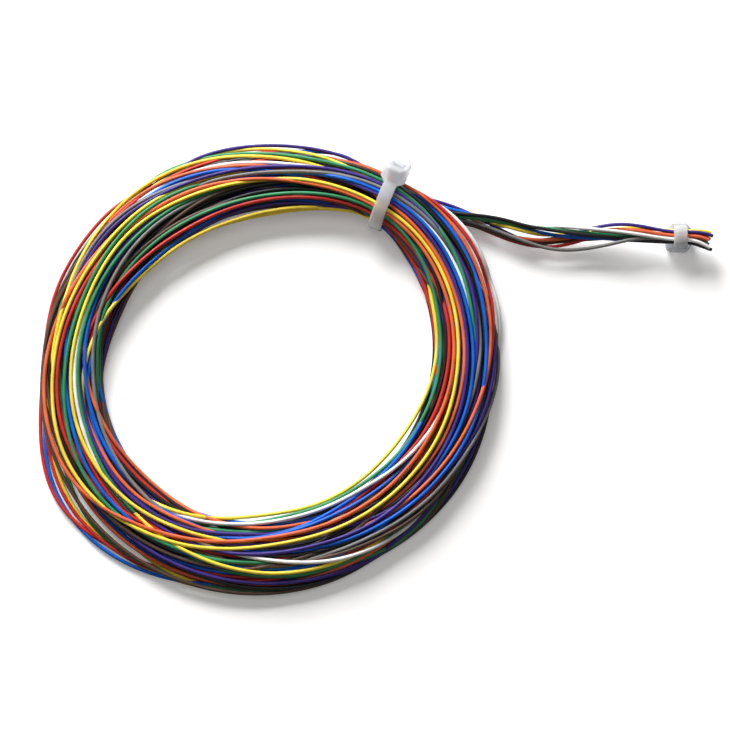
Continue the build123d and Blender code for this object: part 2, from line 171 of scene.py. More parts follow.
SIGHTS: dict[Colour, tuple[Sight, ...]] = {
    Colour.ORANGE: (
        Sight(4, ((143, 211), (155, 215.5), (165, 220.5), (180, 227.5), (195, 231), (205, 230),
                  (215, 222.5), (225, 208), (235, 195), (240, 190.5), (250, 180), (260, 171), (270, 165),
                  (280, 162), (300, 161.5), (320, 164.5), (340, 170.5), (360, 180.5), (380, 189),
                  (400, 195.5), (416, 196))),
        Sight(3, ((57, 195), (80, 191.5), (100, 194.5), (115, 199))),
        Sight(3, ((200, 188.5), (220, 185), (240, 173))),
        Sight(3, ((370, 195), (390, 201), (410, 205))),
        Sight(5, ((98, 208), (110, 213.5), (120, 219))),
        Sight(5, ((318, 187.5), (330, 193.5), (345, 203.5), (360, 215.5), (370, 222), (380, 228.5))),
        Sight(5, ((386, 230.5), (390, 231.5), (405, 234), (416, 231)), Lie.OVER_TAIL),
        Sight(2, ((194, 178), (205, 172), (215, 165.5), (230, 161.5), (250, 159))),
    ),
    Colour.YELLOW: (
        Sight(4, ((127, 208.5), (145, 209.5), (160, 213.5), (180, 219), (200, 225), (215, 219.5),
                  (228, 208), (240, 197), (250, 187.5), (260, 179), (270, 172.5), (280, 169.5),
                  (300, 169.5), (320, 172.5), (340, 179), (360, 185), (380, 193.5), (390, 197.5),
                  (405, 200.5), (416, 199.5))),
        Sight(3, ((57, 198), (80, 195), (90, 193.5), (100, 191.5), (120, 195), (135, 200), (160, 198),
                  (180, 201), (195, 203), (210, 199.5), (225, 192), (240, 181.5))),
        Sight(5, ((86, 214), (95, 215), (105, 221.5), (120, 225), (130, 226), (145, 223), (165, 218))),
        Sight(5, ((203, 235.5), (213, 241), (218, 239.5)), Lie.LOW),
        Sight(5, ((270, 215), (285, 206.5)), Lie.LOW),
        Sight(2, ((72, 219), (85, 221), (95, 224), (105, 225.5))),
        Sight(2, ((222, 217), (230, 222), (240, 225), (245, 225.5)), Lie.LOW),
        Sight(6, ((77, 168), (85, 163.5), (95, 158.5), (105, 155.5), (120, 155.5), (140, 159.5),
                  (150, 165.5), (163, 177.5))),
        Sight(1, ((75, 166), (85, 158.5), (90, 157))),
        Sight(1, ((246, 199), (270, 202))),
        Sight(0, ((248, 158), (255, 151), (265, 143.5), (275, 140.5), (300, 139), (320, 140.5),
                  (335, 145), (345, 151), (360, 162), (375, 170.5), (390, 178))),
    ),
    Colour.GREEN: (
        Sight(4, ((62, 220.5), (70, 217.5), (80, 216), (95, 218.5), (105, 224), (120, 228))),
        Sight(4, ((265, 149.5), (280, 143), (300, 142.5), (310, 143.5), (325, 149.5), (340, 156),
                  (360, 167), (380, 176), (390, 183), (405, 191.5), (416, 193))),
        Sight(3, ((57, 193), (75, 184.5), (90, 177), (110, 172.5))),
        Sight(3, ((165, 178), (180, 174))),
        Sight(5, ((209, 230), (218, 237), (230, 234.5), (240, 228), (255, 223), (270, 219), (280, 215),
                  (290, 209), (302, 204), (315, 208)), Lie.LOW),
        Sight(5, ((372, 206.5), (380, 210), (390, 216.5), (400, 220.5), (410, 222.5), (416, 221))),
        Sight(2, ((125, 205), (160, 202.5), (180, 207), (200, 213.5), (210, 215), (225, 209.5),
                  (240, 201))),
        Sight(1, ((130, 191.5), (180, 194), (210, 194.5))),
    ),
    Colour.RED: (
        Sight(4, ((158, 207.5), (180, 214.5), (197, 218.5))),
        Sight(4, ((325, 156), (340, 165), (360, 175), (370, 180.5), (378, 184.5))),
        Sight(4, ((402, 187), (416, 188))),
        Sight(3, ((57, 187), (80, 177.5), (100, 169.5), (120, 166), (140, 171), (150, 177))),
        Sight(2, ((368, 165), (380, 170.5), (390, 175.5), (410, 182))),
        Sight(5, ((368, 222), (375, 229), (380, 233))),
        Sight(5, ((386, 236.5), (390, 238), (405, 236), (412, 234)), Lie.OVER_TAIL),
        Sight(5, ((132, 228.5), (150, 229.5), (160, 231.5), (175, 227), (186, 231), (195, 239.5),
                  (205, 249.5), (210, 252), (215, 251), (228, 236)), Lie.LOW),
        Sight(1, ((200, 236), (210, 244), (225, 240)), Lie.LOW),
    ),
    Colour.BLUE: (
        Sight(5, ((305, 187), (320, 193.5), (335, 202), (345, 208), (365, 215), (375, 220), (390, 227.5),
                  (416, 227.5))),
        Sight(4, ((57, 229), (62, 231.5), (70, 230), (75, 228.5))),
        Sight(4, ((330, 188.5), (345, 197), (360, 201), (370, 203.5), (380, 206), (390, 209), (400, 213),
                  (416, 211.5))),
        Sight(3, ((57, 211), (62, 209), (70, 206))),
        Sight(3, ((180, 187), (205, 182))),
        Sight(3, ((313, 149), (335, 155.5))),
        Sight(2, ((100, 206), (110, 211), (120, 214.5))),
        Sight(2, ((190, 206), (210, 209), (225, 205))),
        Sight(1, ((194, 234), (205, 246.5), (215, 249), (225, 246), (235, 239), (247, 227)), Lie.LOW),
        Sight(6, ((133, 160.5), (150, 169))),
        Sight(6, ((275, 161.5), (285, 157), (300, 155))),
    ),
    Colour.VIOLET: (
        Sight(4, ((57, 218), (70, 213.5), (80, 207.5), (95, 204.5), (110, 206), (120, 208), (130, 213),
                  (140, 216))),
        Sight(4, ((255, 187), (270, 181), (285, 178), (300, 181), (325, 185), (345, 191), (360, 195),
                  (380, 201), (390, 205), (405, 209), (416, 207.5))),
        Sight(5, ((370, 208), (380, 215), (390, 220), (416, 219))),
        Sight(3, ((200, 191), (220, 189.5), (240, 179.5), (255, 167), (265, 161.5))),
        Sight(3, ((345, 213), (360, 222))),
        Sight(2, ((62, 228), (110, 227.5))),
    ),
    Colour.GRAY: (
        Sight(4, ((57, 215), (70, 209.5), (80, 202.5), (90, 199.5), (100, 199.5))),
        Sight(4, ((300, 191), (310, 195.5), (320, 201), (330, 206), (340, 212), (350, 220), (360, 227))),
        Sight(5, ((360, 206), (370, 212))),
        Sight(5, ((405, 218), (416, 217))),
        Sight(3, ((122, 211), (130, 216.5), (140, 220), (155, 218))),
        Sight(2, ((130, 188), (155, 183.5), (180, 178.5), (220, 178))),
    ),
    Colour.WHITE: (
        Sight(5, ((372, 233), (380, 238))),
        Sight(5, ((385, 240), (390, 241.5), (395, 242), (407, 237)), Lie.OVER_TAIL),
        Sight(4, ((382, 209.5), (390, 212.5), (397, 214))),
        Sight(3, ((80, 209), (90, 208), (100, 212.5), (110, 215))),
        Sight(2, ((180, 197.5), (200, 197.5))),
        Sight(6, ((252, 159), (260, 154.5), (270, 149.5), (280, 146), (300, 145.5), (310, 148),
                  (320, 154.5), (335, 165.5))),
        Sight(1, ((273, 189), (285, 197), (300, 203.5))),
    ),
    Colour.BLACK: (
        Sight(4, ((390, 225), (416, 224))),
        Sight(3, ((362, 172.5), (370, 177), (380, 182.5), (388, 187.5))),
    ),
    Colour.BROWN: (
        Sight(4, ((300, 196), (320, 206.5))),
        Sight(3, ((396, 180.5), (401, 183), (408, 184.5), (414, 185))),
    ),
}

# How high in the coil each wire tends to lie where it is hidden, from 0 by the table to 1 on top.
RISE: dict[Colour, float] = {
    Colour.BLACK: 1.0, Colour.BROWN: 0.85, Colour.RED: 0.75, Colour.ORANGE: 0.35, Colour.YELLOW: 0.2,
    Colour.GREEN: 0.55, Colour.BLUE: 0.6, Colour.VIOLET: 0.8, Colour.GRAY: 0.25, Colour.WHITE: 0.0}
# How far across the coil it wanders there, as a share of the coil's width.
STRAY: dict[Colour, float] = {
    Colour.BLACK: 1.0, Colour.BROWN: 0.95, Colour.RED: 0.95, Colour.ORANGE: 0.8, Colour.YELLOW: 0.6,
    Colour.GREEN: 0.9, Colour.BLUE: 0.9, Colour.VIOLET: 0.95, Colour.GRAY: 0.5, Colour.WHITE: 0.3}

@dataclass(frozen=True)
class TailRoute:
    """The way of one wire's loose end.

    Args:
        approach_mm: places along Y and Z at each of TAIL_X_MM.
        seat: column and row in the tail tie.
        fan_mm: the place along Y and Z at TAIL_FAN_X_MM.
        end_mm: where the cut end is.
    """

    approach_mm: tuple[Pair, ...]
    seat: Pair
    fan_mm: Pair
    end_mm: Triple


TAIL_X_MM = (9.1, 13.4, 17.8, 22.7, 27.6, 33.2, 38.8, 45.0, 51.1, 57.2, 63.4, 70.4, 77.4, 84.4, 91.4)
TAIL_FAN_X_MM = 114.1
TAIL_TIE_REACH_MM = 3.7
TAIL_ROUTES: dict[Colour, TailRoute] = {
    Colour.VIOLET: TailRoute(
        ((63.1, 4.8), (62.0, 4.8), (61.0, 4.9), (59.6, 5.0), (57.9, 4.7),
         (55.5, 4.4), (52.4, 4.3), (49.2, 3.6), (46.5, 2.7), (46.4, 2.8),
         (47.1, 3.7), (48.8, 5.2), (50.2, 7.4), (50.9, 8.6), (50.3, 8.9)),
        (1, 1), (47.6, 8.9), (118.0, 46.5, 8.4)),
    Colour.BLUE: TailRoute(
        ((61.5, 6.0), (60.5, 6.1), (59.6, 6.2), (57.6, 6.4), (56.3, 6.5),
         (55.0, 6.4), (53.7, 5.7), (52.3, 5.0), (50.4, 4.8), (48.6, 5.5),
         (47.1, 6.5), (46.4, 6.6), (46.3, 6.4), (45.9, 5.9), (45.6, 5.3)),
        (-1, -1), (44.0, 5.4), (117.0, 42.7, 4.5)),
    Colour.GRAY: TailRoute(
        ((58.7, 3.9), (57.7, 4.1), (56.6, 4.4), (55.2, 4.6), (53.8, 5.0),
         (52.3, 5.4), (50.5, 5.8), (47.7, 6.2), (45.3, 6.3), (43.2, 5.9),
         (42.2, 5.3), (42.3, 5.2), (43.1, 6.4), (44.3, 8.1), (45.8, 8.5)),
        (-0.5, 0), (45.0, 7.1), (116.7, 44.0, 6.2)),
    Colour.BLACK: TailRoute(
        ((60.1, 7.0), (59.2, 7.1), (58.0, 7.3), (55.9, 7.5), (54.9, 7.8),
         (54.4, 8.1), (53.7, 8.1), (52.6, 7.7), (50.7, 7.4), (49.5, 7.5),
         (48.4, 7.8), (47.3, 8.2), (46.6, 7.9), (46.0, 7.4), (45.2, 6.8)),
        (-1.5, 0), (43.1, 6.9), (117.7, 42.0, 6.4)),
    Colour.GREEN: TailRoute(
        ((59.2, 5.5), (58.3, 5.6), (57.1, 5.7), (55.3, 6.0), (54.2, 6.4),
         (53.5, 6.9), (52.7, 6.9), (51.8, 6.4), (50.9, 6.0), (50.1, 6.2),
         (49.3, 6.5), (48.5, 6.8), (47.7, 6.6), (47.2, 6.0), (47.6, 5.8)),
        (1, -1), (47.8, 5.6), (116.8, 47.0, 5.2)),
    Colour.BROWN: TailRoute(
        ((57.5, 5.1), (56.4, 4.7), (55.5, 3.9), (54.4, 3.4), (53.2, 3.7),
         (51.5, 4.2), (49.7, 4.7), (46.9, 5.0), (45.3, 4.7), (44.8, 3.9),
         (45.7, 3.5), (46.4, 3.2), (46.9, 3.3), (47.0, 4.1), (46.6, 5.1)),
        (0, -1), (46.0, 5.4), (116.4, 45.3, 4.7)),
    Colour.YELLOW: TailRoute(
        ((62.8, 3.1), (61.8, 3.1), (60.8, 3.2), (59.0, 3.4), (57.3, 3.2),
         (55.2, 3.0), (52.9, 4.0), (50.6, 6.4), (48.9, 6.2), (47.8, 4.9),
         (48.4, 3.0), (48.8, 3.3), (49.5, 4.0), (49.9, 5.3), (50.3, 6.6)),
        (1.5, 0), (48.8, 7.3), (117.6, 48.1, 6.8)),
    Colour.RED: TailRoute(
        ((60.5, 4.3), (59.4, 3.8), (58.0, 3.4), (55.9, 3.2), (54.4, 2.6),
         (52.1, 2.8), (49.6, 3.2), (46.8, 3.5), (45.0, 3.1), (43.9, 3.1),
         (43.9, 3.9), (45.4, 4.6), (48.0, 4.9), (48.6, 5.9), (48.6, 7.2)),
        (0.5, 0), (46.8, 7.4), (117.2, 45.6, 7.2)),
    Colour.ORANGE: TailRoute(
        ((59.5, 2.1), (58.5, 2.0), (57.5, 1.9), (56.5, 1.8), (55.0, 1.4),
         (53.1, 1.8), (50.8, 2.4), (47.9, 4.2), (46.6, 4.5), (45.9, 4.9),
         (46.2, 4.9), (47.2, 5.1), (49.0, 5.9), (49.4, 7.3), (48.6, 8.9)),
        (0, 1), (45.9, 9.0), (116.4, 44.9, 8.7)),
    Colour.WHITE: TailRoute(
        ((61.1, 2.5), (60.1, 2.3), (59.1, 2.1), (57.9, 1.9), (56.4, 1.8),
         (54.7, 1.6), (53.0, 1.8), (51.4, 2.6), (50.9, 3.3), (50.8, 4.8),
         (50.5, 6.8), (49.6, 8.1), (48.8, 8.7), (48.0, 9.1), (46.9, 9.5)),
        (-1, 1), (43.7, 8.8), (116.8, 42.2, 8.2)),
}


@dataclass
class Studio:
    """Camera, lamps, floor and background.

    Args:
        sky: strength of the world's light.
        sky_colour: its colour.
        key_place: where the main lamp hangs, towards the photograph's upper left.
        key_size: the length of its side.
        key_power: its power in watts.
        fill_place: where the weaker lamp hangs, over the coil.
        fill_size: the length of its side.
        fill_power: its power in watts.
        floor_size: how far the floor reaches each way.
        floor_white: the floor's colour as the camera sees it.
        floor_bounce: its colour for the light that it throws back at the wires.
        floor_glow: how much it brightens its shadows for the camera.
    """

    sky: float = 0.12
    sky_colour: tuple[float, float, float, float] = (1.0, 0.93, 0.82, 1.0)
    key_place: Triple = (-0.5, 1.12, 0.68)
    key_size: float = 0.8
    key_power: float = 42.0
    fill_place: Triple = (-0.1, 0.1, 1.5)
    fill_size: float = 0.9
    fill_power: float = 2.8
    floor_size: float = 3.0
    floor_white: float = 1.0
    floor_bounce: float = 0.6
    floor_glow: float = 0.18

    def build(self) -> None:
        """Make the camera, the floor and the lights."""
        self.make_camera()
        self.make_floor()
        self.make_lights()

    def make_camera(self) -> None:
        """Look down from the front at the photograph's angle."""
        data = bpy.data.cameras.new("camera")
        data.lens = data.sensor_width * PHOTO.distance / PHOTO.frame_width
        data.clip_start = 0.01
        camera = bpy.data.objects.new("camera", data)
        camera.location = PHOTO.lens_place()
        camera.rotation_euler = (math.radians(90.0 - PHOTO.elevation), 0.0, 0.0)
        bpy.context.collection.objects.link(camera)
        bpy.context.scene.camera = camera

    def make_floor(self) -> None:
        """Lay a pale matt floor that shows white but keeps the shadow."""
        far = self.floor_size
        mesh = bpy.data.meshes.new("floor")
        corners = [(-far, -far, 0.0), (far, -far, 0.0), (far, far, 0.0), (-far, far, 0.0)]
        mesh.from_pydata(corners, [], [(0, 1, 2, 3)])
        floor = bpy.data.objects.new("floor", mesh)
        bpy.context.collection.objects.link(floor)
        material = bpy.data.materials.new("pale_table")
        material.use_nodes = True
        tree = material.node_tree
        shader = tree.nodes["Principled BSDF"]
        shader.inputs["Roughness"].default_value = 0.8
        shader.inputs["Specular IOR Level"].default_value = 0.0
        path = tree.nodes.new("ShaderNodeLightPath")
        seen = tree.nodes.new("ShaderNodeMath")
        seen.operation = "MAXIMUM"
        tree.links.new(path.outputs["Is Camera Ray"], seen.inputs[0])
        tree.links.new(path.outputs["Is Transmission Ray"], seen.inputs[1])
        shown = tree.nodes.new("ShaderNodeMapRange")
        shown.inputs["To Min"].default_value = self.floor_bounce
        shown.inputs["To Max"].default_value = self.floor_white
        tree.links.new(seen.outputs["Value"], shown.inputs["Value"])
        tree.links.new(shown.outputs["Result"], shader.inputs["Base Color"])
        glow = tree.nodes.new("ShaderNodeMath")
        glow.operation = "MULTIPLY"
        glow.inputs[1].default_value = self.floor_glow
        tree.links.new(seen.outputs["Value"], glow.inputs[0])
        tree.links.new(glow.outputs["Value"], shader.inputs["Emission Strength"])
        mesh.materials.append(material)

    def make_lights(self) -> None:
        """Hang soft lamps over the table and set a pale world."""
        world = bpy.data.worlds.new("studio")
        world.use_nodes = True
        background = world.node_tree.nodes["Background"]
        background.inputs["Color"].default_value = self.sky_colour
        background.inputs["Strength"].default_value = self.sky
        bpy.context.scene.world = world
        self.lamp("key", self.key_place, self.key_size, self.key_power)
        self.lamp("fill", self.fill_place, self.fill_size, self.fill_power)

    def lamp(self, name: str, place: Triple, size: float, power: float) -> None:
        """Hang one square area lamp that points at the coil.

        Args:
            name: the lamp's name.
            place: where it hangs.
            size: the length of its side.
            power: its power in watts.
        """
        data = bpy.data.lights.new(name, "AREA")
        data.shape = "SQUARE"
        data.size = size
        data.energy = power
        lamp = bpy.data.objects.new(name, data)
        lamp.location = place
        lamp.rotation_euler = (-Vector(place)).to_track_quat("-Z", "Y").to_euler()
        bpy.context.collection.objects.link(lamp)


class Surface:
    """A new material, with the procedural nodes that the finishes share.

    Args:
        name: the material's name.
    """

    def __init__(self, name: str) -> None:
        """Start from a plain shader and the place on the object."""
        self.material = bpy.data.materials.new(name)
        self.material.use_nodes = True
        self.tree = self.material.node_tree
        self.shader = self.tree.nodes["Principled BSDF"]
        self.place = self.tree.nodes.new("ShaderNodeTexCoord").outputs["Object"]

    def set(self, socket: str, value: float | Triple) -> None:
        """Set one of the shader's own sockets."""
        self.shader.inputs[socket].default_value = value

    def noise(self, scale: float, detail: float = 2.0) -> bpy.types.NodeSocket:
        """Add a noise that is fixed to the object.

        Args:
            scale: how fine it is.
            detail: how many finer layers it has.

        Returns:
            The socket that gives its strength.
        """
        node = self.tree.nodes.new("ShaderNodeTexNoise")
        node.inputs["Scale"].default_value = scale
        node.inputs["Detail"].default_value = detail
        self.tree.links.new(self.place, node.inputs["Vector"])
        return node.outputs["Fac"]

    def tint(self, strength: bpy.types.NodeSocket, dark: Triple, light: Triple,
             spread: Pair = (0.3, 0.7)) -> None:
        """Mottle the colour.

        Args:
            strength: the noise to follow.
            dark: the colour where it is weak.
            light: the colour where it is strong.
            spread: the strengths at which each of them is reached.
        """
        node = self.tree.nodes.new("ShaderNodeValToRGB")
        for stop, position, colour in zip(node.color_ramp.elements, spread, (dark, light)):
            stop.position = position
            stop.color = (*colour, 1.0)
        self.tree.links.new(strength, node.inputs["Fac"])
        self.tree.links.new(node.outputs["Color"], self.shader.inputs["Base Color"])

    def grain(self, strength: bpy.types.NodeSocket, depth: float) -> None:
        """Roughen the surface a little.

        Args:
            strength: the noise to follow.
            depth: how much of it shows.
        """
        node = self.tree.nodes.new("ShaderNodeBump")
        node.inputs["Strength"].default_value = depth
        node.inputs["Distance"].default_value = 0.05 * MM
        self.tree.links.new(strength, node.inputs["Height"])
        self.tree.links.new(node.outputs["Normal"], self.shader.inputs["Normal"])


def shade(colour: Triple, share: float, lift: float = 0.0) -> Triple:
    """A darker or lighter shade of a colour.

    Args:
        colour: linear red, green and blue.
        share: what each is multiplied by.
        lift: what is added to each.

    Returns:
        The shade, with nothing above 1.
    """
    red, green, blue = (min(1.0, channel * share + lift) for channel in colour)
    return red, green, blue


@dataclass(frozen=True)
class PvcFinish:
    """Smooth extruded PVC insulation.

    Args:
        name: the material's name.
        colour: its colour as linear red, green and blue.
        roughness: how matt the surface is.
        gloss: how strongly it mirrors the lamps.
        mottle_scale: how fine its faint mottling is.
        draw_scale: how fine the marks of its drawing are.
    """

    name: str
    colour: Triple
    roughness: float = 0.34
    gloss: float = 0.22
    mottle_scale: float = 120.0
    draw_scale: float = 2200.0

    def make(self) -> bpy.types.Material:
        """Build the material: faint mottling, fine draw marks and a soft gloss."""
        surface = Surface(self.name)
        surface.set("Roughness", self.roughness)
        surface.set("Specular IOR Level", self.gloss)
        mottle = surface.noise(self.mottle_scale)
        surface.tint(mottle, shade(self.colour, 0.82), shade(self.colour, 1.08, 0.004))
        surface.grain(surface.noise(self.draw_scale, 3.0), 0.08)
        return surface.material


PVC: dict[Colour, PvcFinish] = {
    Colour.BLACK: PvcFinish("pvc_black", (0.006, 0.006, 0.007), gloss=0.4),
    Colour.BROWN: PvcFinish("pvc_brown", (0.10, 0.058, 0.040)),
    Colour.RED: PvcFinish("pvc_red", (0.55, 0.03, 0.022)),
    Colour.ORANGE: PvcFinish("pvc_orange", (0.77, 0.14, 0.048)),
    Colour.YELLOW: PvcFinish("pvc_yellow", (0.94, 0.71, 0.06)),
    Colour.GREEN: PvcFinish("pvc_green", (0.034, 0.26, 0.11)),
    Colour.BLUE: PvcFinish("pvc_blue", (0.001, 0.12, 0.63)),
    Colour.VIOLET: PvcFinish("pvc_violet", (0.05, 0.028, 0.23)),
    Colour.GRAY: PvcFinish("pvc_gray", (0.2, 0.195, 0.19)),
    Colour.WHITE: PvcFinish("pvc_white", (0.86, 0.86, 0.86)),
}


@dataclass(frozen=True)
class Wander:
    """How a hidden wire wanders in the coil.

    Args:
        seed: starts the chances.
        rates: how many times it swings in one turn, for each of its swings.
        least: the weakest that a swing can be, next to 1 for the strongest.
        across: the sum of the swings that takes it all the way across.
        up: the sum of the swings that takes it all the way up.
        margin_mm: how far its middle line stays off the coil's edge.
    """

    seed: int = 11
    rates: Triple = (0.31, 0.57, 0.93)
    least: float = 0.4
    across: float = 1.3
    up: float = 3.5
    margin_mm: float = 1.2 * WIRE_DIAMETER_MM


@dataclass(frozen=True)
class Settling:
    """How the turns find their places, round by round.

    Args:
        rounds: how often all turns are moved.
        give: how many stations a wire needs to bend freely.
        dive: how many stations a turn takes to sink out of sight.
        loose_pull: how strongly a hidden turn is drawn to its wanted place.
        firm_pull: what a track read from the photograph adds to that.
        dive_pull: what lying near a turn in sight adds to it.
        bend_ease: how much of a sharp wiggle one round takes out.
        sink_ease: how much of its excess height a hidden turn then loses.
        push_ease: how much of an overlap it takes out.
        firm_give: how readily a turn in sight gives way, next to 1 for a hidden one.
        same_depth: turns whose depths differ by less cross as their heights say.
        same_height_mm: turns whose heights differ by less cross in the order of the wires.
    """

    rounds: int = 260
    give: float = 9.0
    dive: int = 8
    loose_pull: float = 0.012
    firm_pull: float = 0.3
    dive_pull: float = 0.1
    bend_ease: float = 0.25
    sink_ease: float = 0.5
    push_ease: float = 0.45
    firm_give: float = 0.2
    same_depth: float = 0.2
    same_height_mm: float = 0.02


@dataclass(frozen=True)
class TieGrip:
    """How the coil tie squeezes the turns.

    Args:
        cross_free: how many degrees to each side no turn crosses another.
        tight: how many degrees to each side the squeeze is full.
        ease: over how many more it fades.
        fade: how late in that stretch it fades most.
        wide_gain_mm: how much wider the turns may lie at its end.
        high_gain_mm: how much higher.
    """

    cross_free: float = 10.0
    tight: float = 4.5
    ease: float = 12.0
    fade: float = 1.5
    wide_gain_mm: float = 6.0
    high_gain_mm: float = 4.0

    def distance(self, angles: np.ndarray) -> np.ndarray:
        """How many degrees each clock angle is from the tie."""
        return np.minimum(np.abs(angles - NECK_ANGLE), np.abs(angles - NECK_ANGLE - 360.0))

    def looseness(self, angles: np.ndarray) -> np.ndarray:
        """How free of the tie each clock angle is, from 0 in it to 1 well away."""
        return np.clip((self.distance(angles) - self.tight) / self.ease, 0, 1) ** self.fade


@dataclass(frozen=True)
class WireEnds:
    """How the wires start in the coil and leave it.

    Args:
        leave_stations: how many stations before the tail lead the last turn to it.
        leave_mm: how far inside the tail's first point the last of them lies.
        leave_step_mm: how much farther inside each one before it lies.
        leave_fall_mm: how far the wire comes down from one to the next.
        leave_trust: how firmly it is led there.
        start_stations: for how many stations the hidden ends lie side by side.
        start_mm: how far inside the middle of the tie the first of them lies.
        start_step_mm: how far apart they lie.
        start_level_mm: how high they lie.
        start_trust: how firmly they are held there.
    """

    leave_stations: int = 5
    leave_mm: float = 0.7
    leave_step_mm: float = 0.1
    leave_fall_mm: float = 0.15
    leave_trust: float = 0.45
    start_stations: int = 4
    start_mm: float = 6.3
    start_step_mm: float = 1.4
    start_level_mm: float = 2.9
    start_trust: float = 0.3


@dataclass
class CoilLay:
    """Where every turn of every wire lies in the coil.

    Each turn is settled at the same clock stations all round. The turns in sight
    are drawn to their tracks on top, the others sink below them, and each wire stays
    smooth from one station to the next. Turns that are too near are pushed apart
    round by round, but many still press into a neighbour when it ends.

    Args:
        outline_mm: clock angle, inner radius, outer radius and height of the coil.
        edge_level_mm: how high the turns at its edge lie at most.
        roundness: how square its section is, from 2 for an oval.
        wander: how the hidden wires wander.
        settling: how the turns find their places.
        grip: how the tie squeezes them.
        ends: how the wires start and leave.
        places: radius and height for each colour, lap and station, once settled.
    """

    outline_mm: tuple[tuple[float, float, float, float], ...] = (
        (57, 63.8, 82.4, 14.65), (67, 61.2, 82.7, 14.0), (77, 58.0, 82.0, 12.4),
        (92, 54.3, 81.8, 10.9), (120, 51.8, 81.4, 10.5), (150, 55.2, 81.8, 10.5),
        (180, 59.7, 81.4, 10.6), (210, 58.3, 87.0, 9.4), (240, 55.6, 84.2, 9.2),
        (270, 48.8, 79.0, 9.2), (300, 46.2, 74.8, 9.4), (330, 48.8, 77.0, 10.0),
        (360, 55.3, 79.8, 10.9), (388, 60.4, 83.2, 12.4), (405, 63.2, 83.4, 13.8),
        (417, 63.8, 82.4, 14.65))
    edge_level_mm: float = 3.0
    roundness: float = 2.3
    wander: Wander = Wander()
    settling: Settling = Settling()
    grip: TieGrip = TieGrip()
    ends: WireEnds = WireEnds()
    places: np.ndarray = field(init=False)

    def settle(self) -> None:
        """Work out the places: radius and height for each colour, lap and station."""
        angles = self.angles()
        wanted, pull, hidden = self.wishes(angles)
        places = wanted.copy()
        for _ in range(self.settling.rounds):
            places += pull * (wanted - places)
            self.smooth(places)
            self.sink(places, hidden, angles)
            self.part(places, hidden, angles)
            self.confine(places, hidden, angles)
        self.places = places

    def angles(self) -> np.ndarray:
        """Clock angle of each station, in the way the wires travel."""
        step = 360.0 / STATIONS
        return NECK_ANGLE + 360.0 - step * (1 + np.arange(STATIONS))

    def wishes(self, angles: np.ndarray) -> tuple[np.ndarray, np.ndarray, np.ndarray]:
        """Where each turn would like to lie.

        Args:
            angles: clock angle of each station.

        Returns:
            Wanted places, how strongly each is pulled, and how hidden each is, from
            0 in sight to 1 well inside the coil.
        """
        rng = np.random.default_rng(self.wander.seed)
        shape = (len(Colour), LAPS, STATIONS)
        wanted = np.zeros(shape + (2,))
        trust = np.zeros(shape)
        for wire, colour in enumerate(Colour):
            self.let_wander(colour, rng, angles, wanted[wire])
            for sight in SIGHTS[colour]:
                self.lay_sight(sight, angles, wanted[wire, sight.lap], trust[wire, sight.lap])
            self.lay_ends(colour, wanted[wire], trust[wire])
            self.stiffen(wanted[wire], trust[wire])
        hidden = self.depth_of(trust > 0.5)
        rule = self.settling
        pull = rule.loose_pull + rule.firm_pull * trust + rule.dive_pull * (hidden < 1)
        return wanted, pull[..., None], hidden

    def depth_of(self, showing: np.ndarray) -> np.ndarray:
        """How hidden each station is, by how far along its wire the nearest one in sight is.

        Args:
            showing: which stations are in sight.

        Returns:
            From 0 in sight to 1 at the end of a dive and beyond.
        """
        dive = self.settling.dive
        line = showing.reshape(len(Colour), LAPS * STATIONS)
        hidden = np.where(line, 0.0, 1.0)
        for step in range(1, dive):
            share = step / dive
            hidden[:, step:] = np.minimum(hidden[:, step:], np.where(line[:, :-step], share, 1.0))
            hidden[:, :-step] = np.minimum(hidden[:, :-step], np.where(line[:, step:], share, 1.0))
        return hidden.reshape(showing.shape)

    def let_wander(self, colour: Colour, rng: np.random.Generator, angles: np.ndarray,
                   wanted: np.ndarray) -> None:
        """Let one wire wander slowly across the coil and up and down in it.

        Args:
            colour: which wire it is.
            rng: where the chances come from.
            angles: clock angle of each station.
            wanted: the wire's wanted places, set here.
        """
        way = self.wander
        travel = np.arange(LAPS * STATIONS).reshape(LAPS, STATIONS) / STATIONS * 2 * math.pi
        across = np.zeros(travel.shape)
        height = np.zeros(travel.shape)
        for rate in way.rates:
            across += rng.uniform(way.least, 1.0) * np.sin(rate * travel + rng.uniform(0, 2 * math.pi))
            height += rng.uniform(way.least, 1.0) * np.sin(rate * travel + rng.uniform(0, 2 * math.pi))
        middle, half = self.section(angles)
        radius = middle + STRAY[colour] * np.clip(across / way.across, -1, 1) * (half - way.margin_mm)
        share = np.clip(RISE[colour] + height / way.up, 0.0, 1.0)
        room = self.crown(angles, radius) - WIRE_DIAMETER_MM - WIRE_RADIUS_MM
        wanted[..., 0] = radius
        wanted[..., 1] = WIRE_RADIUS_MM + share * room

    def lay_sight(self, sight: Sight, angles: np.ndarray, wanted: np.ndarray, trust: np.ndarray) -> None:
        """Draw one turn to the track where it is in sight.

        Args:
            sight: the stretch in sight.
            angles: clock angle of each station.
            wanted: the turn's wanted places, changed here.
            trust: how firmly each is known, changed here.
        """
        marks = self.plan_track(sight)
        inside = (angles >= marks[0, 0] - 1) & (angles <= marks[-1, 0] + 1)
        radius = np.interp(angles, marks[:, 0], marks[:, 1])
        wanted[inside, 0] = radius[inside]
        wanted[inside, 1] = self.level_of(sight, angles, radius)[inside]
        trust[inside] = 1.0

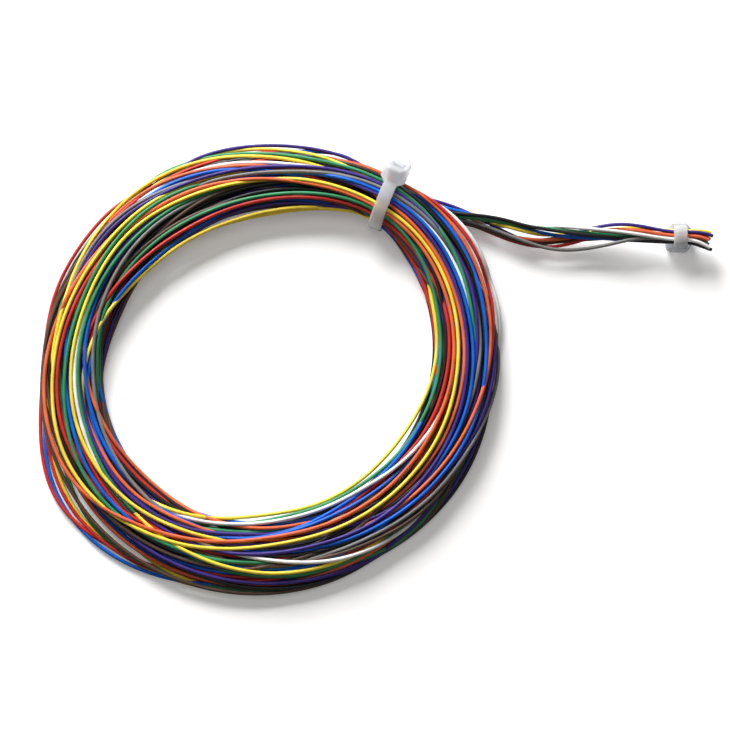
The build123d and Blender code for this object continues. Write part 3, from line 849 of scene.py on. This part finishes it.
    def lay_ends(self, colour: Colour, wanted: np.ndarray, trust: np.ndarray) -> None:
        """Hide a wire's first end underneath, and lead its last turn to the tail.

        Args:
            colour: which wire it is.
            wanted: its wanted places, changed here.
            trust: how firmly each is known, changed here.
        """
        side, level = TAIL_ROUTES[colour].approach_mm[0]
        ends = self.ends
        reach = math.hypot(TAIL_X_MM[0] - COIL_CENTRE_MM[0], side - COIL_CENTRE_MM[1])
        for back in range(ends.leave_stations):
            radius = reach - ends.leave_mm - ends.leave_step_mm * back
            wanted[-1, -1 - back] = (radius, level + ends.leave_fall_mm * back)
            trust[-1, -1 - back] = ends.leave_trust / (1 + back)
        start = NECK_RADIUS_MM - ends.start_mm + ends.start_step_mm * list(Colour).index(colour)
        wanted[0, :ends.start_stations] = (start, ends.start_level_mm)
        trust[0, :ends.start_stations] = ends.start_trust

    def stiffen(self, wanted: np.ndarray, trust: np.ndarray) -> None:
        """Replace one wire's wishes by the straightest line that meets the firm ones.

        Args:
            wanted: its wanted places, changed here.
            trust: how firmly each is known.
        """
        count = LAPS * STATIONS
        bend = np.diff(np.eye(count), 2, axis=0)
        hold = trust.reshape(count) + self.settling.give ** -4
        wishes = hold[:, None] * wanted.reshape(count, 2)
        line = np.linalg.solve(bend.T @ bend + np.diag(hold), wishes)
        wanted[:] = line.reshape(wanted.shape)

    def plan_track(self, sight: Sight) -> np.ndarray:
        """Turn a track read from the photograph into clock angles and radii on the table.

        Args:
            sight: the stretch in sight.

        Returns:
            One row for each mark, with its angle in degrees and its radius in millimetres.
        """
        marks = np.array(sight.track, dtype=float)
        turn = np.radians(marks[:, 0])
        across_px = COIL_MIDDLE_PX[0] + marks[:, 1] * np.cos(turn)
        down_px = COIL_MIDDLE_PX[1] - marks[:, 1] * np.sin(turn)
        level = np.full(len(marks), LOW_LEVEL_MM)
        for _ in range(3):
            east, north = PHOTO.place_mm(across_px, down_px, level)
            east, north = east - COIL_CENTRE_MM[0], north - COIL_CENTRE_MM[1]
            angle = np.degrees(np.arctan2(north, east))
            angle += 360.0 * np.round((marks[:, 0] - angle) / 360.0)
            radius = np.hypot(east, north)
            level = self.level_of(sight, angle, radius)
        return np.stack([angle, radius], axis=-1)

    def level_of(self, sight: Sight, angles: np.ndarray, radius: np.ndarray) -> np.ndarray:
        """Height of a turn's middle line where it is in sight.

        Args:
            sight: the stretch in sight.
            angles: clock angles to look at.
            radius: the turn's radius at each.

        Returns:
            The height at each in millimetres.
        """
        if sight.lie is Lie.LOW:
            return np.full(len(angles), LOW_LEVEL_MM)
        if sight.lie is Lie.OVER_TAIL:
            return np.maximum(OVER_TAIL_MM, self.crown(angles, radius))
        return self.crown(angles, radius)

    def section(self, angles: np.ndarray) -> tuple[np.ndarray, np.ndarray]:
        """Middle radius and half width of the coil at each clock angle."""
        outline = np.array(self.outline_mm)
        inner = np.interp(angles, outline[:, 0], outline[:, 1])
        outer = np.interp(angles, outline[:, 0], outline[:, 2])
        return (inner + outer) / 2, (outer - inner) / 2

    def crown(self, angles: np.ndarray, radius: np.ndarray) -> np.ndarray:
        """Height of the uppermost wires' middle line across the coil.

        Args:
            angles: clock angles to look at.
            radius: where across the coil.

        Returns:
            The height at each in millimetres.
        """
        middle, half = self.section(angles)
        outline = np.array(self.outline_mm)
        top = np.interp(angles, outline[:, 0], outline[:, 3]) - WIRE_RADIUS_MM
        low = np.minimum(self.edge_level_mm, top / 2)
        share = np.clip(np.abs(radius - middle) / (half - WIRE_RADIUS_MM), 0, 1)
        return low + (top - low) * np.sqrt(1 - share ** self.roundness)

    def smooth(self, places: np.ndarray) -> None:
        """Take sharp wiggles out along every wire."""
        line = places.reshape(len(Colour), LAPS * STATIONS, 2)
        bend = line[:, 2:] + line[:, :-2] - 2 * line[:, 1:-1]
        line[:, 1:-1] += self.settling.bend_ease * bend

    def sink(self, places: np.ndarray, hidden: np.ndarray, angles: np.ndarray) -> None:
        """Keep the turns that are out of sight below the ones on top.

        Args:
            places: all places, changed here.
            hidden: how hidden each is.
            angles: clock angle of each station.
        """
        limit = self.crown(angles, places[..., 0]) - hidden * WIRE_DIAMETER_MM
        excess = np.maximum(0.0, places[..., 1] - limit)
        places[..., 1] -= self.settling.sink_ease * excess * (hidden > 0)

    def part(self, places: np.ndarray, hidden: np.ndarray, angles: np.ndarray) -> None:
        """Push apart turns that are nearer than a wire's diameter.

        Two turns that are in sight or diving from it keep their tracks, and one
        passes over the other. Elsewhere the turns out of sight give way.

        Args:
            places: all places, changed here.
            hidden: how hidden each is.
            angles: clock angle of each station.
        """
        rule = self.settling
        turns = len(Colour) * LAPS
        spots = places.reshape(turns, STATIONS, 2).transpose(1, 0, 2).astype(np.float32)
        deep = hidden.reshape(turns, STATIONS).T.astype(np.float32)
        gap = spots[:, :, None, :] - spots[:, None, :, :]
        distance = np.sqrt(gap[..., 0] ** 2 + gap[..., 1] ** 2) + np.float32(1e-6)
        overlap = np.maximum(np.float32(0.0), np.float32(WIRE_DIAMETER_MM) - distance)
        overlap[:, np.arange(turns), np.arange(turns)] = 0.0
        near_top = deep < 1
        crossing = near_top[:, :, None] & near_top[:, None, :] & (overlap > 0)
        crossing &= (self.grip.distance(angles) > self.grip.cross_free)[:, None, None]
        give = np.float32(rule.firm_give) + np.float32(1.0 - rule.firm_give) * deep
        share = overlap * give[:, :, None] / (give[:, :, None] + give[:, None, :]) / distance
        share[crossing] = 0.0
        push = (gap * share[..., None]).sum(2)
        which, one, other = np.nonzero(crossing)
        across, rise = gap[which, one, other, 0], gap[which, one, other, 1]
        lower = deep[which, one] - deep[which, other]
        by_height = np.where(np.abs(rise) > rule.same_height_mm, rise, other - one)
        order = np.sign(np.where(np.abs(lower) > rule.same_depth, -lower, by_height))
        need = np.sqrt(np.maximum(0.0, WIRE_DIAMETER_MM ** 2 - across ** 2)) - order * rise
        np.add.at(push, (which, one, np.ones_like(which)), 0.5 * need * order)
        moved = spots + rule.push_ease * push
        places[:] = moved.transpose(1, 0, 2).reshape(places.shape)

    def confine(self, places: np.ndarray, hidden: np.ndarray, angles: np.ndarray) -> None:
        """Keep turns on the table, hidden ones in the outline, and all inside the tie at the neck.

        Args:
            places: all places, changed here.
            hidden: how hidden each is.
            angles: clock angle of each station.
        """
        half = WIRE_RADIUS_MM
        middle, reach = self.section(angles)
        inside = np.clip(places[..., 0], middle - reach + half, middle + reach - half)
        places[..., 0] -= hidden * (places[..., 0] - inside)
        places[..., 1] = np.maximum(places[..., 1], half)
        loose = self.grip.looseness(angles)
        for station in np.flatnonzero(loose < 1):
            wide = NECK_HALF_WIDTH_MM - half + self.grip.wide_gain_mm * loose[station]
            high = NECK_HALF_HEIGHT_MM - half + self.grip.high_gain_mm * loose[station]
            across = (places[:, :, station, 0] - NECK_RADIUS_MM) / wide
            up = (places[:, :, station, 1] - NECK_Z_MM) / high
            excess = np.maximum(1.0, np.hypot(across, up))
            places[:, :, station, 0] = NECK_RADIUS_MM + wide * across / excess
            places[:, :, station, 1] = NECK_Z_MM + high * up / excess
        places[..., 1] = np.maximum(places[..., 1], half)

    def turns_of(self, colour: Colour) -> list[Vector]:
        """The wound points of one wire in metres, from its hidden end to the tie."""
        wire = list(Colour).index(colour)
        line = self.places[wire].reshape(LAPS * STATIONS, 2)
        turns = np.radians(np.tile(self.angles(), LAPS))
        points = []
        for (radius, level), turn in zip(line[1:], turns[1:]):
            points.append(MM * Vector((
                COIL_CENTRE_MM[0] + radius * math.cos(turn),
                COIL_CENTRE_MM[1] + radius * math.sin(turn),
                level)))
        return points


@dataclass
class HookupWire:
    """One insulated wire, from its hidden end through the coil to its cut end.

    Args:
        colour: the insulation's colour.
        wound: its points in the coil, in metres.
        core_proud_mm: how far the bared core stands out of the insulation.
    """

    colour: Colour
    wound: list[Vector]
    core_proud_mm: float = 0.15

    def build(self) -> None:
        points = self.wound + self.tail()
        data = bpy.data.curves.new(f"wire_{self.colour.value}", "CURVE")
        data.dimensions = "3D"
        data.resolution_u = 3
        data.bevel_depth = WIRE_RADIUS_MM * MM
        data.bevel_resolution = 3
        data.use_fill_caps = True
        spline = data.splines.new("NURBS")
        spline.points.add(len(points) - 1)
        for spot, point in zip(spline.points, points):
            spot.co = (*point, 1.0)
        spline.order_u = 3
        spline.use_endpoint_u = True
        wire = bpy.data.objects.new(f"wire_{self.colour.value}", data)
        bpy.context.collection.objects.link(wire)
        data.materials.append(PVC[self.colour].make())
        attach(wire, "root")
        replaced = [f"tail_{self.colour.value}"]
        if self.colour is Colour.ORANGE:
            replaced.append("coil_bundle")
        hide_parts(*replaced)

    def tail(self) -> list[Vector]:
        """The loose end's points in metres, from the coil to just short of the bared core."""
        route = TAIL_ROUTES[self.colour]
        column, row = route.seat
        tie_x, tie_y, tie_z = TAIL_TIE_MM
        tied = (tie_y + column * TIE_COLUMN_MM, tie_z + row * TIE_ROW_MM)
        points = [Vector((x, *place)) for x, place in zip(TAIL_X_MM, route.approach_mm)]
        points.append(Vector((tie_x - TAIL_TIE_REACH_MM, *tied)))
        points.append(Vector((tie_x + TAIL_TIE_REACH_MM, *tied)))
        points.append(Vector((TAIL_FAN_X_MM, *route.fan_mm)))
        points.append(Vector(route.end_mm))
        points[-1] -= self.core_proud_mm * (points[-1] - points[-2]).normalized()
        return [MM * point for point in points]


@dataclass(frozen=True)
class NylonFinish:
    """Natural nylon: milky, letting what lies under it show through, with a soft gloss.

    Args:
        name: the material's name.
        colour: its colour as linear red, green and blue.
        roughness: how matt the surface is.
        bending: how strongly it bends light, kept low so that it looks milky.
        clearness: how much light passes through.
        bleed: how much of the rest spreads inside it.
        bleed_radius: how far red, green and blue spread.
        cloud_scale: how fine its clouds and mould grain are.
    """

    name: str = "natural_nylon"
    colour: Triple = (0.93, 0.95, 0.985)
    roughness: float = 0.25
    bending: float = 1.2
    clearness: float = 0.6
    bleed: float = 0.9
    bleed_radius: Triple = (0.004, 0.0042, 0.0045)
    cloud_scale: float = 300.0

    def make(self) -> bpy.types.Material:
        """Build the material: cloudy colour, light passing in, and fine mould grain."""
        surface = Surface(self.name)
        surface.set("Roughness", self.roughness)
        surface.set("IOR", self.bending)
        surface.set("Transmission Weight", self.clearness)
        surface.set("Subsurface Weight", self.bleed)
        surface.set("Subsurface Radius", self.bleed_radius)
        surface.set("Subsurface Scale", 1.0)
        clouds = surface.noise(self.cloud_scale)
        surface.tint(clouds, shade(self.colour, 0.96), self.colour)
        surface.grain(clouds, 0.1)
        return surface.material


@dataclass(frozen=True)
class CopperFinish:
    """Bare drawn copper strands, freshly cut.

    Args:
        name: the material's name.
        colour: its colour as linear red, green and blue.
        roughness: how matt the surface is.
        tarnish_scale: how fine its faint tarnish is.
    """

    name: str = "bare_copper"
    colour: Triple = (0.80, 0.42, 0.24)
    roughness: float = 0.28
    tarnish_scale: float = 1500.0

    def make(self) -> bpy.types.Material:
        """Build the material: metal with faint tarnish."""
        surface = Surface(self.name)
        surface.set("Metallic", 1.0)
        surface.set("Roughness", self.roughness)
        tarnish = surface.noise(self.tarnish_scale)
        surface.tint(tarnish, shade(self.colour, 0.7), self.colour, spread=(0.0, 1.0))
        return surface.material


@dataclass
class CadDress:
    """New finishes on the pieces that keep their CAD shape.

    Args:
        ties: the nodes of the two cable ties.
    """

    ties: tuple[str, ...] = ("coil_tie", "tail_tie")

    def dress(self) -> None:
        """Put nylon on the ties and copper on the bared cores."""
        nylon = NylonFinish().make()
        copper = CopperFinish().make()
        for name in self.ties:
            self.paint(name, nylon)
        for colour in Colour:
            self.paint(f"conductor_{colour.value}", copper)

    def paint(self, node: str, material: bpy.types.Material) -> None:
        """Give every slot of one CAD node the same material.

        Args:
            node: the node's name.
            material: what it is made of.
        """
        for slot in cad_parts[node].material_slots:
            slot.material = material
        LOG.info("dressed %s", node)


def main() -> None:
    """Build the studio, the ten wires and the ties."""
    logging.basicConfig(level=logging.INFO, format="%(message)s")
    bpy.context.scene.view_settings.view_transform = "Standard"
    Studio().build()
    lay = CoilLay()
    lay.settle()
    LOG.info("coil settled")
    for colour in Colour:
        HookupWire(colour, lay.turns_of(colour)).build()
    CadDress().dress()


if __name__ == "__main__":
    main()
